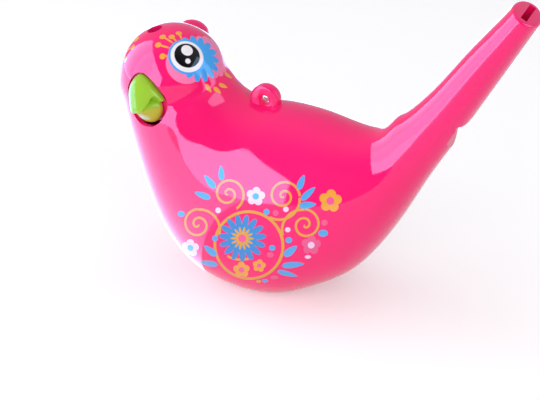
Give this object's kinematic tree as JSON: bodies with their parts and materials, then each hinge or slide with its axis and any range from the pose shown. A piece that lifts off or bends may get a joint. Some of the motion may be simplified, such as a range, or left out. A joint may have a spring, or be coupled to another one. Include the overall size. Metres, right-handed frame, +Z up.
{
  "type": "bird whistle",
  "caption": "Hollow moulded bird whistle with its head turned to its left side, a coloured beak, a loop on its back and a raised tail as the mouthpiece.",
  "frame": {"origin": "middle of the bottom of the bounding box, level with the flat foot under the belly", "axes": "+X towards the tail, -Y towards the bird's left side, which the head looks over, +Z up"},
  "size_m": [0.1153, 0.0434, 0.0914],
  "materials": {
    "pink_plastic": "high gloss, printed",
    "green_plastic": "gloss"
  },
  "bodies": {
    "root": {"body_left_shell": "pink_plastic", "body_right_shell": "pink_plastic", "beak": "green_plastic"}
  },
  "joints": []
}
